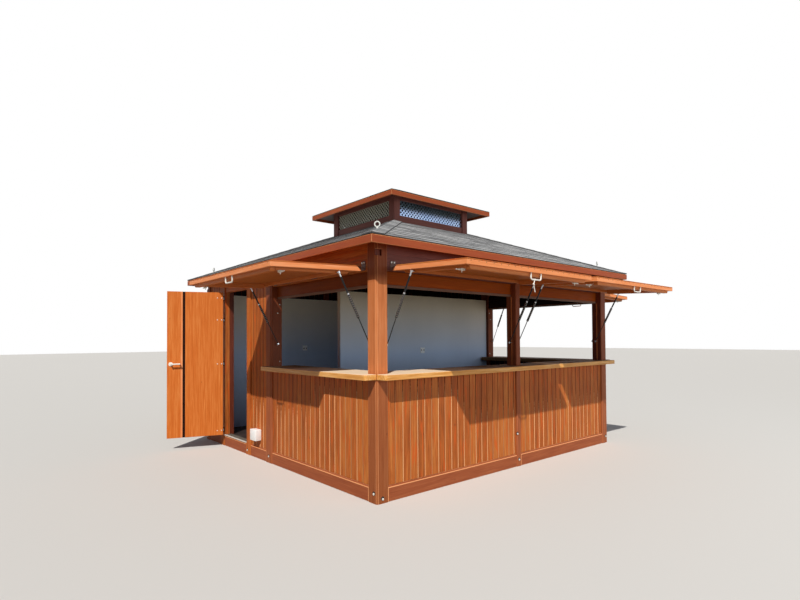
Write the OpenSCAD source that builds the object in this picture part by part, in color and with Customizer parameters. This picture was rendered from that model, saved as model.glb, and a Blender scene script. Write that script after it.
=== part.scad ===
// Wooden market hut: a square kiosk with four serving flaps held open by gas struts,
// a door in its left wall, a low hip roof and a lattice lantern on top.
// Origin at the centre of the footprint on the ground, +Z up.
// The front wall faces -Y, the wall with the door faces -X.

/* [Plan] */
// Length of each side over the posts
hut_w = 4000; // [3600:10:4600]
// Width of a corner post
post_w = 130; // [100:5:160]
// Distance from the middle of the front wall to the left face of its middle post
front_mid_left = 18; // [10:1:60]
// Distance from the middle of the front wall to the right face of its middle post
front_mid_right = 60; // [40:1:80]
// Distance from the middle of a side wall to the middle posts' face at the serving opening
side_mid_near = 45; // [20:5:80]
// Distance from the middle of a side wall to the middle posts' face at the panel
side_mid_far = 105; // [60:5:160]
// Thickness of the panels and headers between the posts
wall_t = 70; // [45:5:90]
// How far panels and headers stand back from the post faces
wall_set = 15; // [5:1:30]

/* [Heights] */
// Height of the sill beams, which is also the floor level
sill_h = 140; // [110:5:180]
// Top of the serving counters
counter_z = 1122; // [1000:1:1200]
// Underside of the headers over the serving openings
head_z = 1920; // [1850:5:1950]
// Underside of the head over the door
door_head_z = 2070; // [2000:10:2100]
// Top edge of the roof boards at the eaves
eave_z = 2287; // [2270:1:2400]

/* [Counters] */
// Thickness of a counter board
counter_t = 48; // [30:1:60]
// How far a counter stands out from the post faces
counter_out = 127; // [50:1:150]
// How far a counter reaches in behind the post faces
counter_in = 300; // [140:5:340]

/* [Serving flaps] */
// Width of a flap along the wall
flap_w = 1812; // [1500:1:1830]
// Depth of a flap from its hinge to its outer edge
flap_d = 885; // [700:5:900]
// Height of the rim boards
flap_rim_h = 48; // [35:1:60]
// Fall of an open front flap towards its outer edge, in degrees
flap_fall = 2.5; // [2:0.1:3]
// Fall of an open side flap towards its outer edge, in degrees
side_flap_fall = 2; // [1.8:0.1:3]
// Height of the flap hinge line
flap_hinge_z = 2066; // [2062:1:2068]
// How far the hinge line stands out from the post faces
flap_hinge_out = 45; // [35:1:60]

/* [Door] */
// Width of the doorway between its jambs
doorway_w = 683; // [640:1:760]
// Distance from the front corner to the doorway's near edge
doorway_near = 2652; // [2600:1:2700]
// Thickness of the door leaf
leaf_t = 45; // [35:1:50]
// Angle that the leaf stands open, in degrees
door_open = 109; // [90:1:130]

/* [Roof] */
// Overhang of the eaves beyond the post faces
eave_out = 206; // [150:1:260]
// Roof pitch in degrees
roof_pitch = 21.2; // [18:0.1:24]
// Thickness of the roof boards, measured vertically
roof_t = 40; // [30:1:50]
// Height of the fascia boards
fascia_h = 67; // [60:1:100]

/* [Lantern] */
// Length of each side of the lantern
lantern_w = 1344; // [1100:2:1500]
// Width of the lantern's corner posts
lantern_post = 100; // [80:5:120]
// Bottom edge of the lattice panels
lattice_z0 = 2970; // [2960:5:2990]
// Top edge of the lattice panels
lattice_z1 = 3165; // [3120:5:3180]
// Spacing of the lattice diamonds
lattice_pitch = 51; // [40:1:80]
// Width of a lattice bar
lattice_bar = 13; // [8:1:20]
// Top edge of the lantern's roof boards at the eaves
lantern_eave_z = 3188; // [3180:1:3300]
// Overhang of the lantern's eaves
lantern_eave_out = 222; // [150:1:240]

/* [Hidden] */
half = hut_w / 2;
front = 0;
right = 1;
back = 2;
left = 3;
sides = [front, right, back, left];
fit_gap = 1;
slope = tan(roof_pitch);
eave_half = half + eave_out;
lantern_half = lantern_w / 2;
lantern_eave_half = lantern_half + lantern_eave_out;
lantern_roof_t = 30;
lantern_fascia_h = 56;
fascia_t = 25;
lattice_t = 12;
sill_t = 100;
lining_t = 18;
deck_t = 28;
joist_w = 60;
counter_round = 25;
post_arris = 14;
post_edge = 8;
cap_t = 8;
cap_lift = 0.1;
eye_ring_r = 18;
eye_bar_r = 5.5;

// Places along a side, measured from its middle
corner_edge = half - post_w;
front_bays = [[-corner_edge, -front_mid_left], [front_mid_right, corner_edge]];
side_mid_join = -15;
side_bay = [-corner_edge, -side_mid_near];
flap_mid = -corner_edge + 5 + flap_w / 2;

// Door places along +Y, measured from the hut's middle
jamb_w = 125;
door_y0 = doorway_near - half;
door_y1 = door_y0 + doorway_w;
leaf_gap = 6;
lock_lap = 12;
hinge_off = 10;
door_hinge_x = -half - hinge_off;
door_hinge_y = door_y1 + 5;
threshold_t = 8;
leaf_z0 = sill_h + threshold_t + leaf_gap;
leaf_z1 = door_head_z - leaf_gap;
leaf_y0 = door_y0 - lock_lap;
leaf_y1 = door_y1 - leaf_gap;
hinge_heights = [216, 1106, 1695, 1985];
hinge_pin_r = 6;
hinge_pin_clear = 0.08;
knuckle_r = 9;
knuckle_h = 30;
strap_t = 4;
strap_h = 40;
strap_l = 130;

// Flap section, with heights above the hinge line and depths from it
flap_top = 10;
flap_rim_w = 30;
flap_rim_z = flap_top - flap_rim_h;
flap_skin_t = 20;
flap_skin_z = flap_top - flap_skin_t;
flap_inner = -15;
flap_bevel = 45;
batten_w = 45;
batten_in = 65;
side_batten_z = flap_rim_z - 20;
outer_batten_z = flap_rim_z - 30;
outer_batten_y = -flap_d + flap_rim_w;

// Gas struts, from the post's reveal up to the side batten of the flap
strut_foot_z = 1378;
strut_foot_y = -half + 60;
strut_top_y = -half - 271;
strut_top_z = 2006;
strut_in = 40;
strut_dy = strut_top_y - strut_foot_y;
strut_dz = strut_top_z - strut_foot_z;
strut_len = sqrt(strut_dy * strut_dy + strut_dz * strut_dz);
strut_lean = atan2(-strut_dy, strut_dz);
rod_r = 4.5;
rod_end = 0.38 * strut_len;
sleeve_r = 11.5;
sleeve_end = 0.7 * strut_len;
tube_r = 8.5;
tube_end = strut_len - 45;
collar_l = 14;
fitting_r = 7;
eye_half = 7.5;
stud_r = 5;
bury = 2;

// Height of the roof's top surface at a distance from the hut's middle
function roof_z(d) = eave_z + (eave_half - d) * slope;
function roof_under(d) = roof_z(d) - roof_t;
function lantern_roof_z(d) = lantern_eave_z + (lantern_eave_half - d) * slope;
function lantern_under(d) = lantern_roof_z(d) - lantern_roof_t;

// Turns what is drawn for the front wall round to another side
module on_side(side) {
    rotate([0, 0, 90 * side]) children();
}

// Draws its parts and their mirror image across the hut's middle
module both_halves() {
    children();
    mirror([1, 0, 0]) children();
}

// A block from one corner to the other
module block(a, b) {
    translate(a) cube(b - a);
}

// Extrudes an outline drawn in the plane across a wall, Y outwards as -Y, from u0 to u1
module along(u0, u1) {
    translate([u0, 0, 0]) rotate([90, 0, 90]) linear_extrude(u1 - u0) children();
}

// Sills, posts and floor

// A sill beam between two posts, with its top outer edge eased
module sill(u0, u1) {
    face = -half + 5;
    ease = 16;
    along(u0, u1) polygon([
        [face, 0], [face + sill_t, 0], [face + sill_t, sill_h],
        [face + ease, sill_h], [face, sill_h - ease]
    ]);
}

module sills() {
    color("#A85A30") {
        for (side = [front, back]) {
            on_side(side) {
                sill(front_bays[0][0], front_bays[0][1]);
                sill(front_bays[1][0], front_bays[1][1]);
            }
        }
        on_side(right) {
            sill(-corner_edge, -side_mid_near);
            sill(side_mid_far, corner_edge);
        }
        on_side(left) {
            sill(side_mid_near, corner_edge);
            sill(-corner_edge, -door_y1 - jamb_w);
            sill(-door_y1, -door_y0);
            sill(-door_y0 + jamb_w, -side_mid_far);
        }
    }
}

// A corner post with its arrises taken off and a shallow square housing near its top
module corner_post() {
    housing_w = 62;
    housing_h = 57;
    housing_z = 2160;
    housing_d = 18;
    difference() {
        linear_extrude(roof_under(half)) translate([-half, -half]) polygon([
            [post_arris, 0], [post_w - post_edge, 0], [post_w, post_edge], [post_w, post_w],
            [post_edge, post_w], [0, post_w - post_edge], [0, post_arris]
        ]);
        block([-half - 1, -half - 1, housing_z],
              [-half + housing_w, -half + housing_d, housing_z + housing_h]);
    }
}

module corner_posts() {
    color("#B5602F") {
        for (side = sides) {
            on_side(side) corner_post();
        }
    }
}

// A middle post from u0 to u1 with its two outer arrises taken off
module middle_post(u0, u1) {
    linear_extrude(roof_under(half)) translate([0, -half]) polygon([
        [u0 + post_edge, 0], [u1 - post_edge, 0], [u1, post_edge],
        [u1, post_w], [u0, post_w], [u0, post_edge]
    ]);
}

module middle_posts() {
    color("#B5602F") {
        for (side = [front, back]) {
            on_side(side) middle_post(front_bays[0][1], front_bays[1][0]);
        }
        both_halves() on_side(right) {
            middle_post(-side_mid_near, side_mid_join);
            middle_post(side_mid_join, side_mid_far);
        }
    }
}

// Near jamb with the rebate that the leaf closes into, and the hinge jamb
module door_jambs() {
    rebate_w = lock_lap + leaf_gap;
    rebate_d = leaf_t + leaf_gap;
    color("#8E4726") {
        difference() {
            block([-half, door_y0 - jamb_w, 0], [-half + post_w, door_y0, roof_under(half)]);
            block([-half - 1, door_y0 - rebate_w, sill_h],
                  [-half + rebate_d, door_y0 + 1, door_head_z]);
        }
        block([-half, door_y1, 0], [-half + post_w, door_y1 + jamb_w, roof_under(half)]);
    }
}

module floor_joists() {
    inner = half - 5 - sill_t;
    color("#7A4A2C") {
        for (i = [-2:2]) {
            x = i * (inner - joist_w) / 2.4;
            reach = i == 0 ? half - post_w : inner;
            block([x - joist_w / 2, -reach, 0], [x + joist_w / 2, reach, sill_h - deck_t]);
        }
    }
}

module floor_deck() {
    inner = half - 5 - sill_t;
    corner = half - post_w;
    color("#4A3426") {
        difference() {
            block([-inner, -inner, sill_h - deck_t], [inner, inner, sill_h]);
            for (side = sides) {
                on_side(side) {
                    block([-half, -half, 0], [-corner, -corner, sill_h + 1]);
                    block([-side_mid_far, -half, 0],
                          [side_mid_far, -half + post_w, sill_h + 1]);
                }
            }
            block([-half, door_y0 - jamb_w, 0], [-corner, door_y0, sill_h + 1]);
            block([-half, door_y1, 0], [-corner, door_y1 + jamb_w, sill_h + 1]);
        }
    }
}

// Walls and headers

// A panel between two posts, from the sill up to a counter
module half_panel(u0, u1) {
    block([u0, -half + wall_set, sill_h], [u1, -half + wall_set + wall_t, counter_z - counter_t]);
}

// A panel or header that runs up to the sloping roof boards
module full_panel(u0, u1, z0) {
    outer = half - wall_set;
    inner = outer - wall_t;
    along(u0, u1) polygon([
        [-outer, z0], [-inner, z0], [-inner, roof_under(inner)], [-outer, roof_under(outer)]
    ]);
}

module front_wall() {
    color("#9C5530") {
        on_side(front) {
            half_panel(front_bays[0][0], front_bays[0][1]);
            half_panel(front_bays[1][0], front_bays[1][1]);
        }
    }
}

module left_wall() {
    color("#9C5530") {
        on_side(left) {
            half_panel(-side_bay[1], -side_bay[0]);
            full_panel(-door_y0 + jamb_w, -side_mid_far, sill_h);
            full_panel(-corner_edge, -door_y1 - jamb_w, sill_h);
        }
    }
}

module right_wall() {
    color("#9C5530") {
        on_side(right) {
            half_panel(side_bay[0], side_bay[1]);
            full_panel(side_mid_far, corner_edge, sill_h);
        }
    }
}

module back_wall() {
    color("#9C5530") {
        on_side(back) {
            full_panel(front_bays[0][0], front_bays[0][1], sill_h);
            full_panel(front_bays[1][0], front_bays[1][1], sill_h);
        }
    }
}

// The frieze over a serving opening, flush with the wall, and the header set back under it
// with the strip that a closed flap meets
module hatch_header(u0, u1) {
    frieze_z = 2040;
    set_back = 70;
    header_t = 50;
    strip_h = 25;
    strip_d = 30;
    face = -half + set_back;
    full_panel(u0, u1, frieze_z);
    block([u0, face, head_z], [u1, face + header_t, frieze_z + header_t]);
    block([u0, face, head_z - strip_h], [u1, face + strip_d, head_z]);
}

module headers() {
    color("#9C5530") {
        on_side(front) {
            hatch_header(front_bays[0][0], front_bays[0][1]);
            hatch_header(front_bays[1][0], front_bays[1][1]);
        }
        on_side(right) hatch_header(side_bay[0], side_bay[1]);
        on_side(left) {
            hatch_header(-side_bay[1], -side_bay[0]);
            full_panel(-door_y1, -door_y0, door_head_z);
        }
    }
}

// Counters

// A counter from u0 to u1 with rounded outer corners, cut round the posts that it passes.
// Inside the corner posts it is mitred with the next counter.
module counter(u0, u1, posts) {
    r = counter_round;
    inner = -half + counter_in;
    translate([0, 0, counter_z - counter_t]) linear_extrude(counter_t) difference() {
        union() {
            translate([u0, -half - counter_out + r]) square([u1 - u0, counter_out - r + counter_in]);
            translate([u0 + r, -half - counter_out]) square([u1 - u0 - 2 * r, 2 * r]);
            for (u = [u0 + r, u1 - r]) {
                translate([u, -half - counter_out + r]) circle(r, $fn = 64);
            }
        }
        for (post = posts) {
            translate([post[0], -half]) square([post[1] - post[0], half]);
        }
        for (sign = [-1, 1]) {
            polygon([
                [sign * half, -half], [sign * (half - counter_in - 1), inner + 1],
                [sign * half, inner + 1]
            ]);
        }
    }
}

module counter_front() {
    color("#D9963F") counter(-half, half, [
        [-half, -corner_edge],
        [corner_edge, half],
        [front_bays[0][1], front_bays[1][0]]
    ]);
}

module side_counter() {
    counter(-half, -post_edge, [
        [-half, -corner_edge],
        [-side_mid_near, half]
    ]);
}

module counter_right() {
    color("#D9963F") on_side(right) side_counter();
}

module counter_left() {
    color("#D9963F") on_side(left) mirror([1, 0, 0]) side_counter();
}

// Serving flaps, drawn level with the hinge line at the origin and turned into place

module at_flap(side, mid) {
    fall = side == front ? flap_fall : side_flap_fall;
    on_side(side) translate([mid, -half - flap_hinge_out, flap_hinge_z])
        rotate([fall, 0, 0]) children();
}

module each_flap() {
    at_flap(front, flap_mid) children();
    at_flap(front, -flap_mid) children();
    at_flap(right, flap_mid) children();
    at_flap(left, -flap_mid) children();
}

// Hinge lines of the four flaps, level with the ground
module at_bracket(side, mid) {
    on_side(side) translate([mid, -half - flap_hinge_out, flap_hinge_z]) children();
}

module each_bracket() {
    at_bracket(front, flap_mid) children();
    at_bracket(front, -flap_mid) children();
    at_bracket(right, flap_mid) children();
    at_bracket(left, -flap_mid) children();
}

// A batten's outline from y0 out to y1, with both lower corners rounded
module batten_outline(y0, y1, z0, z1, r) {
    translate([y1, z0 + r]) square([y0 - y1, z1 - z0 - r]);
    translate([y1 + r, z0]) square([y0 - y1 - 2 * r, r + 1]);
    for (y = [y0 - r, y1 + r]) {
        translate([y, z0 + r]) circle(r, $fn = 48);
    }
}

// Rim boards round a skin, with rounded battens set in under it along three edges
// and a plain rail along the hinge edge
module flap() {
    outer = -flap_d;
    inner = flap_inner - flap_bevel;
    side = flap_w / 2;
    end_r = 20;
    span = side - batten_in;
    rail_w = 45;
    color("#E07A35") {
        for (u0 = [-side, side - flap_rim_w]) {
            along(u0, u0 + flap_rim_w) polygon([
                [flap_inner, flap_rim_z], [inner, flap_top], [outer, flap_top], [outer, flap_rim_z]
            ]);
        }
        block([-side, outer, flap_rim_z], [side, outer + flap_rim_w, flap_top]);
        block([-side, outer, flap_skin_z], [side, inner, flap_top]);
        for (u0 = [-span, span - batten_w]) {
            along(u0, u0 + batten_w)
                batten_outline(inner - rail_w, outer_batten_y + batten_w, side_batten_z, flap_skin_z, end_r);
        }
        block([-side, inner - rail_w, flap_rim_z], [side, inner, flap_skin_z]);
        translate([0, outer_batten_y + batten_w, 0]) rotate([0, 0, -90])
            along(0, batten_w) batten_outline(span, -span, outer_batten_z, flap_skin_z, end_r);
    }
}

module flap_front_left() {
    at_flap(front, flap_mid) flap();
}

module flap_front_right() {
    at_flap(front, -flap_mid) flap();
}

module flap_left() {
    at_flap(left, -flap_mid) flap();
}

module flap_right() {
    at_flap(right, flap_mid) flap();
}

// Gas struts, drawn upwards from the foot

// Puts a strut on the line from its foot on the post to its fixing under the flap
module at_strut(side, u) {
    on_side(side) translate([u, strut_foot_y, strut_foot_z]) rotate([strut_lean, 0, 0]) children();
}

// The two struts of one flap, whose bay runs from bay[0] to bay[1]
module strut_pair(side, bay) {
    at_strut(side, bay[0] + strut_in) children();
    at_strut(side, bay[1] - strut_in) mirror([1, 0, 0]) children();
}

module each_strut() {
    strut_pair(front, front_bays[0]) children();
    strut_pair(front, front_bays[1]) children();
    both_halves() strut_pair(right, side_bay) children();
}

// The wide sleeve round the rod and the tube above it
module strut_cylinders() {
    color("#1E1E20") each_strut() {
        translate([0, 0, rod_end]) cylinder(h = sleeve_end - rod_end, r = sleeve_r, $fn = 32);
        translate([0, 0, sleeve_end + collar_l])
            cylinder(h = tube_end - sleeve_end - collar_l, r = tube_r, $fn = 32);
    }
}

// The rod with its foot eye, the collar on the tube and the top fitting, with their studs
module strut_rods() {
    eye_r = 8;
    color("#B8BCC0") each_strut() {
        block([-eye_half, -eye_r, -eye_r], [eye_half, eye_r, eye_r]);
        translate([0, 0, eye_r - bury]) cylinder(h = rod_end - eye_r + bury, r = rod_r, $fn = 32);
        translate([0, 0, sleeve_end]) cylinder(h = collar_l, r = tube_r + 1.5, $fn = 32);
        translate([0, 0, tube_end])
            cylinder(h = strut_len - eye_r - tube_end + bury, r = fitting_r, $fn = 32);
        block([-eye_half, -eye_r, strut_len - eye_r], [eye_half, eye_r, strut_len + eye_r]);
    }
    color("#B8BCC0") {
        strut_studs(front, front_bays[0], flap_mid);
        strut_studs(front, front_bays[1], -flap_mid);
        both_halves() strut_studs(right, side_bay, flap_mid);
    }
}

// The studs that carry a flap's struts, at the foot on the posts and at the top on the side battens
module strut_studs(side, bay, mid) {
    span = flap_w / 2 - batten_in;
    grip = eye_half - bury;
    near_u = bay[0] + strut_in;
    far_u = bay[1] - strut_in;
    on_side(side) {
        for (reach = [[bay[0], near_u - grip], [far_u + grip, bay[1]]]) {
            translate([reach[0], strut_foot_y, strut_foot_z]) stud(reach[1] - reach[0]);
        }
        for (reach = [[near_u + grip, mid - span], [mid + span, far_u - grip]]) {
            translate([reach[0], strut_top_y, strut_top_z]) stud(reach[1] - reach[0]);
        }
    }
}

module stud(length) {
    rotate([0, 90, 0]) cylinder(h = length, r = stud_r, $fn = 32);
}

// Three hinges a flap, each with a plate on the header, an arm out to the barrel
// and an angle on the flap's hinge rail
module flap_hinges() {
    hinge_in = 64;
    plate_w = 60;
    middle_w = 120;
    plate_t = 4;
    plate_z = [-22, 62];
    arm_w = 24;
    barrel_r = 8;
    reach = flap_hinge_out + wall_set;
    inner = flap_inner - flap_bevel;
    hinges = [[-flap_w / 2 + hinge_in, plate_w], [0, middle_w], [flap_w / 2 - hinge_in, plate_w]];
    color("#232325") {
        each_bracket() {
            for (hinge = hinges) {
                translate([hinge[0], 0, 0]) {
                    block([-hinge[1] / 2, reach - plate_t, plate_z[0]], [hinge[1] / 2, reach, plate_z[1]]);
                    block([-arm_w / 2, 0, -plate_t / 2], [arm_w / 2, reach - plate_t, plate_t / 2]);
                }
            }
        }
        each_flap() {
            for (hinge = hinges) {
                translate([hinge[0], 0, 0]) {
                    rotate([0, 90, 0]) cylinder(h = hinge[1], r = barrel_r, center = true, $fn = 32);
                    block([-hinge[1] / 2, inner, -plate_t / 2], [hinge[1] / 2, 0, plate_t / 2]);
                    block([-hinge[1] / 2, inner, flap_rim_z], [hinge[1] / 2, inner + plate_t, plate_t / 2]);
                }
            }
        }
    }
}

// A bail handle under the outer rim of a flap, at a distance from the flap's middle
module bail_handle(u) {
    handle_w = 160;
    handle_drop = 64;
    bar = 6.5;
    bend = 18;
    level = -handle_drop + bar;
    translate([u, -flap_d + flap_rim_w / 2, flap_rim_z]) {
        for (turn = [0, 180]) {
            rotate([0, 0, turn]) {
                translate([handle_w / 2 - bar, 0, level + bend])
                    cylinder(h = -level - bend, r = bar, $fn = 32);
                translate([handle_w / 2 - bar - bend, 0, level + bend]) rotate([90, 90, 0])
                    rotate_extrude(angle = 90, $fn = 64) translate([bend, 0]) circle(bar, $fn = 32);
            }
        }
        translate([0, 0, level]) rotate([0, 90, 0])
            cylinder(h = handle_w - 2 * bar - 2 * bend, r = bar, center = true, $fn = 32);
    }
}

// The side flaps' handles sit nearer the front corners
module flap_handles() {
    side_shift = 75;
    color("#D0D2D2") {
        at_flap(front, flap_mid) bail_handle(0);
        at_flap(front, -flap_mid) bail_handle(0);
        at_flap(right, flap_mid) bail_handle(-side_shift);
        at_flap(left, -flap_mid) bail_handle(side_shift);
    }
}

// Slide bolts under the outer ends of the side battens, with their knobs hanging down
module flap_latches() {
    plate_t = 3;
    plate_l = 40;
    bolt_r = 5;
    bolt_l = 100;
    knob_l = 22;
    knob_r = 3.5;
    latch_y = -flap_d + 130;
    bolt_z = -plate_t - bolt_r - 1;
    color("#B8BCC0") each_flap() {
        for (sign = [-1, 1]) {
            translate([sign * (flap_w / 2 - batten_in - batten_w / 2), latch_y, side_batten_z]) {
                block([-batten_w / 2, -plate_l / 2, -plate_t], [batten_w / 2, plate_l / 2, 0]);
                for (u = [-batten_w / 2, batten_w / 2 - 8]) {
                    block([u, -9, bolt_z - bolt_r - 2], [u + 8, 9, -plate_t]);
                }
                translate([sign * 15, 0, bolt_z]) rotate([0, 90, 0])
                    cylinder(h = bolt_l, r = bolt_r, center = true, $fn = 32);
                translate([0, 0, bolt_z - knob_l])
                    cylinder(h = knob_l + bury, r = knob_r, $fn = 32);
            }
        }
    }
}

// Door, drawn closed and turned open about its hinge line

module at_door() {
    translate([door_hinge_x, door_hinge_y, 0]) rotate([0, 0, -door_open])
        translate([-door_hinge_x, -door_hinge_y, 0]) children();
}

// Two sheets on the inside with a slot between them over the leaf's core
module door_leaf() {
    sheet_t = 12;
    slot_w = 30;
    slot_at = 470;
    color("#C96B2C") at_door() difference() {
        block([-half, leaf_y0, leaf_z0], [-half + leaf_t, leaf_y1, leaf_z1]);
        block([-half + leaf_t - sheet_t, leaf_y1 - slot_at - slot_w, leaf_z0 - 1],
              [-half + leaf_t + 1, leaf_y1 - slot_at, leaf_z1 + 1]);
    }
}

module door_straps() {
    color("#6E6F72") at_door() {
        for (z = hinge_heights) {
            difference() {
                union() {
                    block([-half - strap_t, leaf_y1 - strap_l, z - strap_h / 2],
                          [-half, door_hinge_y - 5, z + strap_h / 2]);
                    translate([door_hinge_x, door_hinge_y, z - knuckle_h / 2])
                        cylinder(h = knuckle_h, r = knuckle_r, $fn = 48);
                }
                block([door_hinge_x - knuckle_r - 1, door_hinge_y - knuckle_r - 1, z + knuckle_h / 2],
                      [-half + 1, door_hinge_y + 1, z + strap_h]);
                block([door_hinge_x - knuckle_r - 1, door_hinge_y - knuckle_r - 1, z - strap_h],
                      [-half + 1, door_hinge_y + 1, z - knuckle_h / 2]);
                translate([door_hinge_x, door_hinge_y, z - strap_h])
                    cylinder(h = 2 * strap_h, r = hinge_pin_r + hinge_pin_clear, $fn = 48);
            }
        }
    }
}

// Jamb plates, their knuckles above and below the strap's, and the pins
module door_hinge_pins() {
    color("#6E6F72") {
        for (z = hinge_heights) {
            translate([door_hinge_x, door_hinge_y, z - knuckle_h / 2 - 1 - knuckle_h / 2])
                cylinder(h = 2 * knuckle_h + 2, r = hinge_pin_r, $fn = 48);
            for (z0 = [z + knuckle_h / 2 + 1, z - knuckle_h - 1]) {
                translate([door_hinge_x, door_hinge_y, z0])
                    cylinder(h = knuckle_h / 2, r = knuckle_r, $fn = 48);
                block([-half - strap_t, door_hinge_y, z0],
                      [-half, door_hinge_y + 12, z0 + knuckle_h / 2]);
            }
            block([-half - strap_t, door_hinge_y + 11, z - knuckle_h - 1],
                  [-half, door_hinge_y + 60, z + knuckle_h + 1]);
        }
    }
}

// Lever handles on both faces on one spindle, each bent back to the door at its free end
module door_lever() {
    lever_z = 1115;
    backset = 45;
    lever_l = 115;
    stand = 48;
    bar = 9;
    pivot_y = leaf_y0 + backset;
    color("#C9CCCE") at_door() translate([-half + leaf_t / 2, pivot_y, lever_z]) {
        for (sign = [-1, 1]) {
            face = sign * leaf_t / 2;
            out = face + sign * stand;
            translate([face, 0, 0]) rotate([0, 90 * sign, 0]) cylinder(h = 8, r = 26, $fn = 48);
            translate([face, 0, 0]) rotate([0, 90 * sign, 0]) cylinder(h = stand + bar, r = bar, $fn = 32);
            translate([out, 0, 0]) rotate([-90, 0, 0]) cylinder(h = lever_l, r = bar, $fn = 32);
            translate([out, lever_l - bar, 0]) rotate([0, -90 * sign, 0]) cylinder(h = 34, r = bar, $fn = 32);
        }
    }
}

module threshold() {
    color("#A9ABAB") {
        block([-half - 5, door_y0, sill_h], [-half + 95, door_y1, sill_h + threshold_t]);
    }
}

// Inside

module partition() {
    end_x = -half + 980;
    face_y = 0;
    color("#E6E7E6") {
        block([end_x, face_y, sill_h], [half - post_w, face_y + 65, 2050]);
    }
}

module back_lining() {
    color("#E6E7E6") {
        block([-corner_edge, corner_edge - lining_t, sill_h], [corner_edge, corner_edge, 2080]);
    }
}

// The inlet box outside beside the door, and a socket on the partition and on the back lining
module socket_boxes() {
    inlet_d = 75;
    inlet_y = 255;
    inlet_w = 150;
    inlet_z = 222;
    inlet_h = 130;
    wall = -half + wall_set;
    socket = 80;
    socket_d = 12;
    partition_x = 380;
    partition_z = 1215;
    lining_x = -500;
    lining_z = 1245;
    lining_y = corner_edge - lining_t;
    color("#F0F0EE") {
        block([wall - inlet_d, inlet_y, inlet_z], [wall, inlet_y + inlet_w, inlet_z + inlet_h]);
        block([partition_x, -socket_d, partition_z], [partition_x + socket, 0, partition_z + socket]);
        block([lining_x, lining_y - socket_d, lining_z], [lining_x + socket, lining_y, lining_z + socket]);
    }
}

// Roof

// One side of a hip roof between two distances from the middle
module roof_side(d0, d1, t, top_at_d1) {
    intersection() {
        along(-d1, d1) polygon([
            [-d1, top_at_d1 - t], [-d1, top_at_d1],
            [-d0, top_at_d1 + (d1 - d0) * slope], [-d0, top_at_d1 + (d1 - d0) * slope - t]
        ]);
        linear_extrude(2 * hut_w) polygon([[-d0, -d0], [d0, -d0], [d1, -d1], [-d1, -d1]]);
    }
}

module main_roof_side() {
    d1 = eave_half - fascia_t;
    roof_side(lantern_half, d1, roof_t, roof_z(d1));
}

module roof_front() {
    color("#7C7C7A") on_side(front) main_roof_side();
}

module roof_right() {
    color("#7C7C7A") on_side(right) main_roof_side();
}

module roof_back() {
    color("#7C7C7A") on_side(back) main_roof_side();
}

module roof_left() {
    color("#7C7C7A") on_side(left) main_roof_side();
}

// A cap strip along the hip between the front and the left roof sides
module hip_cap(d0, d1, eave_top, cap_half) {
    top = eave_top + cap_t + cap_lift;
    far = 2 * hut_w;
    intersection() {
        union() {
            roof_side(d0, d1, cap_t, top);
            on_side(left) roof_side(d0, d1, cap_t, top);
        }
        rotate([0, 0, 225]) block([0, -cap_half, 0], [far, cap_half, far]);
    }
}

// Cap strips over the hips of the main roof and of the lantern's roof
module hip_caps() {
    color("#6F6F6D") {
        for (side = sides) {
            on_side(side) {
                hip_cap(lantern_half, eave_half, eave_z, 100);
                hip_cap(0, lantern_eave_half, lantern_eave_z, 80);
            }
        }
    }
}

// Four boards that meet in open mitres
module fascia_ring(d, z1, h) {
    for (side = sides) {
        on_side(side) translate([0, 0, z1 - h]) linear_extrude(h) polygon([
            [-d + fit_gap, -d], [d - fit_gap, -d],
            [d - fascia_t - fit_gap, -d + fascia_t], [-d + fascia_t + fit_gap, -d + fascia_t]
        ]);
    }
}

module fascia() {
    color("#D06A2E") fascia_ring(eave_half, eave_z, fascia_h);
}

// Lantern

module lantern_frame() {
    rail_t = 60;
    foot = roof_under(lantern_half);
    top = lantern_under(lantern_half);
    inner = lantern_half - lantern_post;
    color("#6B3420") {
        for (side = sides) {
            on_side(side) {
                block([-lantern_half, -lantern_half, foot], [-inner, -inner, top]);
                for (z = [[foot, lattice_z0], [lattice_z1, top]]) {
                    block([-inner + fit_gap, -lantern_half + 10, z[0]],
                          [inner - fit_gap, -lantern_half + 10 + rail_t, z[1]]);
                }
            }
        }
    }
}

// Crossed diagonal bars in one plane, cut to the opening
module lattice() {
    inner = lantern_half - lantern_post;
    height = lattice_z1 - lattice_z0;
    reach = inner + height;
    steps = floor(reach / lattice_pitch);
    translate([0, -lantern_half + 30 + lattice_t, lattice_z0]) rotate([90, 0, 0])
        linear_extrude(lattice_t) intersection() {
            translate([-inner, 0]) square([2 * inner, height]);
            for (turn = [-45, 45]) {
                for (i = [-steps:steps]) {
                    translate([i * lattice_pitch, height / 2]) rotate(turn)
                        square([lattice_bar, 2 * height], center = true);
                }
            }
        }
}

module lattice_front() {
    color("#E4E6E8") on_side(front) lattice();
}

module lattice_right() {
    color("#E4E6E8") on_side(right) lattice();
}

module lattice_back() {
    color("#E4E6E8") on_side(back) lattice();
}

module lattice_left() {
    color("#E4E6E8") on_side(left) lattice();
}

module lantern_roof() {
    d1 = lantern_eave_half - fascia_t;
    color("#7C7C7A") {
        for (side = sides) {
            on_side(side) roof_side(0, d1, lantern_roof_t, lantern_roof_z(d1));
        }
    }
}

module lantern_fascia() {
    color("#D06A2E") fascia_ring(lantern_eave_half, lantern_eave_z, lantern_fascia_h);
}

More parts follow.
